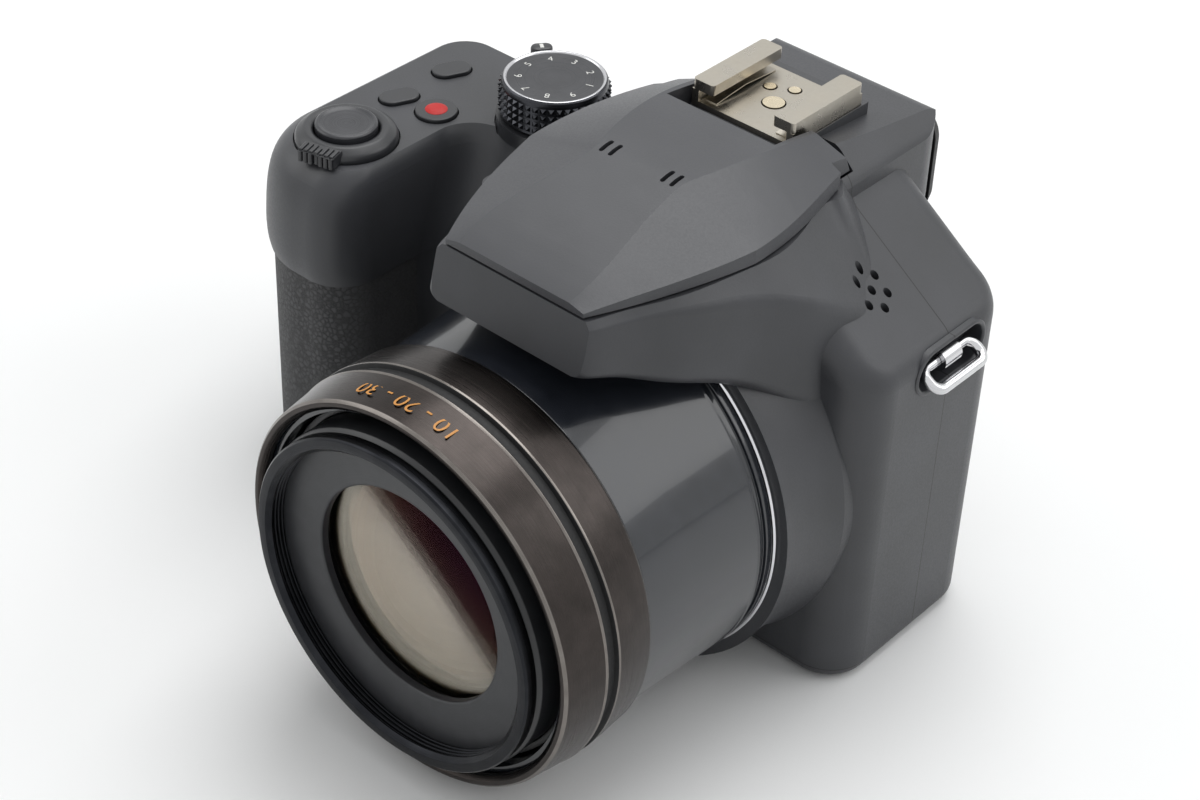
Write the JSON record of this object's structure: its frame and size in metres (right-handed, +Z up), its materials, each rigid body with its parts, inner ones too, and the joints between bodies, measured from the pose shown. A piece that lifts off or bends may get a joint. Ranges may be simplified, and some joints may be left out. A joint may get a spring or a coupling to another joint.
{
  "type": "bridge camera",
  "caption": "Fixed-lens bridge camera with a deep grip, big turned lens ring, pop-up flash under the hot shoe hump, eye-level finder and rear screen.",
  "frame": {"origin": "mouth of the tripod socket on the base, under the lens axis", "axes": "+Z up, the lens looks towards -Y, the grip is on -X and the screen faces +Y"},
  "size_m": [0.1374, 0.1192, 0.0943],
  "materials": {
    "body_plastic": "charcoal fine-textured moulding",
    "top_plastic": "charcoal satin moulding",
    "grip_rubber": "leather-grain black rubber",
    "button_plastic": "satin black",
    "dial_metal": "dark grey satin with bright cut rim",
    "lens_gloss": "gloss black",
    "lens_ring_finish": "turned brown-black anodised",
    "bright_ring": "polished",
    "tube_black": "satin black",
    "filter_black": "black anodised",
    "face_grey": "grey satin",
    "coated_glass": "coated",
    "clear_glass": "polished",
    "screen_dark": "gloss black",
    "nickel": "satin nickel",
    "wire_steel": "bright wire",
    "screw_black": "black zinc",
    "brass": "turned",
    "gold_contact": "plated",
    "diffuser": "frosted",
    "reflector": "polished",
    "board_green": "solder mask",
    "sensor_glass": "polished",
    "steel_sheet": "pressed",
    "cell_plastic": "grey moulding"
  },
  "bodies": {
    "camera_body": {"front_cover": "body_plastic", "rear_cover": "body_plastic", "base_cover": "body_plastic", "top_cover": "top_plastic", "grip_rubber": "grip_rubber", "lens_barrel": "lens_gloss", "barrel_base_ring": "bright_ring", "chassis": "steel_sheet", "main_board": "board_green", "image_sensor": "sensor_glass", "screen_panel": "screen_dark", "screen_glass": "screen_dark", "finder_panel": "screen_dark", "eyepiece_lens": "clear_glass", "eyecup": "grip_rubber", "hot_shoe": "nickel", "hot_shoe_contacts": "gold_contact", "hinge_pins": "wire_steel", "thumb_rest": "grip_rubber", "tripod_socket": "brass", "battery": "cell_plastic", "memory_card": "cell_plastic", "speaker": "steel_sheet", "strap_eyes": "wire_steel", "body_screws": "screw_black"},
    "lens_ring": {"lens_ring": "lens_ring_finish"},
    "middle_tube": {"middle_tube": "tube_black", "zoom_lens": "clear_glass"},
    "front_tube": {"front_tube": "tube_black", "filter_ring": "filter_black", "name_ring": "face_grey", "front_lens": "coated_glass", "front_lens_cell": "tube_black"},
    "flash_lid": {"flash_lid": "top_plastic", "flash_housing": "cell_plastic", "flash_window": "diffuser", "flash_reflector": "reflector", "flash_tube": "clear_glass", "microphones": "steel_sheet"},
    "shutter_button": {"shutter_button": "dial_metal"},
    "zoom_lever": {"zoom_lever": "button_plastic"},
    "record_button": {"record_button": "button_plastic"},
    "function_button_front": {"function_button_front": "button_plastic"},
    "function_button_rear": {"function_button_rear": "button_plastic"},
    "power_lever": {"power_lever": "button_plastic"},
    "mode_dial": {"mode_dial": "dial_metal"},
    "playback_button": {"playback_button": "button_plastic"},
    "focus_button": {"focus_button": "button_plastic"},
    "display_button": {"display_button": "button_plastic"},
    "delete_button": {"delete_button": "button_plastic"},
    "af_lock_button": {"af_lock_button": "button_plastic"},
    "cursor_pad": {"cursor_pad": "button_plastic"},
    "set_button": {"set_button": "button_plastic"},
    "rear_dial": {"rear_dial": "button_plastic"},
    "dioptre_dial": {"dioptre_dial": "button_plastic"},
    "battery_door": {"battery_door": "body_plastic"},
    "battery_latch": {"battery_latch": "button_plastic"},
    "terminal_door": {"terminal_door": "body_plastic"},
    "strap_loop_right": {"strap_loop_right": "wire_steel"},
    "strap_loop_left": {"strap_loop_left": "wire_steel"}
  },
  "joints": [
    {"name": "lens_ring_turn", "type": "hinge", "parent": "camera_body", "child": "lens_ring", "pos_m": [0, -0.07, 0.0366], "axis": [0, 1, 0], "continuous": true},
    {"name": "front_tube_slide", "type": "slide", "parent": "camera_body", "child": "front_tube", "axis": [0, -1, 0], "range_m": [0, 0.03]},
    {"name": "middle_tube_slide", "type": "slide", "parent": "camera_body", "child": "middle_tube", "axis": [0, -1, 0], "range_m": [0, 0.015]},
    {"name": "flash_lid_hinge", "type": "hinge", "parent": "camera_body", "child": "flash_lid", "pos_m": [0, 0.0025, 0.0856], "axis": [-1, 0, 0], "range_deg": [0, 24]},
    {"name": "shutter_button_press", "type": "slide", "parent": "camera_body", "child": "shutter_button", "axis": [0, 0, -1], "range_m": [0, 0.0008], "stiffness_N_per_m": 400},
    {"name": "record_button_press", "type": "slide", "parent": "camera_body", "child": "record_button", "axis": [0, 0, -1], "range_m": [0, 0.0005], "stiffness_N_per_m": 400},
    {"name": "function_button_front_press", "type": "slide", "parent": "camera_body", "child": "function_button_front", "axis": [0, 0, -1], "range_m": [0, 0.0005], "stiffness_N_per_m": 400},
    {"name": "function_button_rear_press", "type": "slide", "parent": "camera_body", "child": "function_button_rear", "axis": [0, 0, -1], "range_m": [0, 0.0005], "stiffness_N_per_m": 400},
    {"name": "playback_button_press", "type": "slide", "parent": "camera_body", "child": "playback_button", "axis": [0, -1, 0], "range_m": [0, 0.0005], "stiffness_N_per_m": 400},
    {"name": "focus_button_press", "type": "slide", "parent": "camera_body", "child": "focus_button", "axis": [0, -1, 0], "range_m": [0, 0.0005], "stiffness_N_per_m": 400},
    {"name": "display_button_press", "type": "slide", "parent": "camera_body", "child": "display_button", "axis": [0, -1, 0], "range_m": [0, 0.0005], "stiffness_N_per_m": 400},
    {"name": "delete_button_press", "type": "slide", "parent": "camera_body", "child": "delete_button", "axis": [0, -1, 0], "range_m": [0, 0.0005], "stiffness_N_per_m": 400},
    {"name": "af_lock_button_press", "type": "slide", "parent": "camera_body", "child": "af_lock_button", "axis": [0, -1, 0], "range_m": [0, 0.0005], "stiffness_N_per_m": 400},
    {"name": "cursor_pad_press", "type": "slide", "parent": "camera_body", "child": "cursor_pad", "axis": [0, -1, 0], "range_m": [0, 0.0005], "stiffness_N_per_m": 400},
    {"name": "set_button_press", "type": "slide", "parent": "camera_body", "child": "set_button", "axis": [0, -1, 0], "range_m": [0, 0.0005], "stiffness_N_per_m": 400},
    {"name": "zoom_lever_turn", "type": "hinge", "parent": "camera_body", "child": "zoom_lever", "pos_m": [-0.0714, -0.0226, 0.066], "axis": [0, 0, 1], "range_deg": [-22, 22], "stiffness_Nm_per_rad": 0.02},
    {"name": "power_lever_turn", "type": "hinge", "parent": "camera_body", "child": "power_lever", "pos_m": [-0.0486, 0.0076, 0.066], "axis": [0, 0, 1], "range_deg": [0, 30]},
    {"name": "mode_dial_turn", "type": "hinge", "parent": "camera_body", "child": "mode_dial", "pos_m": [-0.0486, 0.0076, 0.07], "axis": [0, 0, 1], "continuous": true},
    {"name": "rear_dial_turn", "type": "hinge", "parent": "camera_body", "child": "rear_dial", "pos_m": [-0.062, 0.0161, 0.057], "axis": [0, 0, 1], "continuous": true},
    {"name": "dioptre_dial_turn", "type": "hinge", "parent": "camera_body", "child": "dioptre_dial", "pos_m": [0.0194, 0.026, 0.066], "axis": [1, 0, 0], "range_deg": [-120, 120]},
    {"name": "battery_door_hinge", "type": "hinge", "parent": "camera_body", "child": "battery_door", "pos_m": [-0.05892, -0.0095, 0.00108], "axis": [0, -1, 0], "range_deg": [0, 100]},
    {"name": "battery_latch_slide", "type": "slide", "parent": "battery_door", "child": "battery_latch", "axis": [0, 1, 0], "range_m": [0, 0.0022]},
    {"name": "terminal_door_hinge", "type": "hinge", "parent": "camera_body", "child": "terminal_door", "pos_m": [-0.08588, -0.0007, 0.03], "axis": [0, 0, 1], "range_deg": [0, 85]},
    {"name": "strap_loop_right_swing", "type": "hinge", "parent": "camera_body", "child": "strap_loop_right", "pos_m": [0.04118, 0.005, 0.061], "axis": [0, -1, 0], "range_deg": [-10, 70]},
    {"name": "strap_loop_left_swing", "type": "hinge", "parent": "camera_body", "child": "strap_loop_left", "pos_m": [-0.08658, 0.005, 0.0525], "axis": [0, 1, 0], "range_deg": [-10, 70]}
  ],
  "couplings": [
    {"joint": "middle_tube_slide", "follows": "front_tube_slide", "ratio": 0.5}
  ]
}
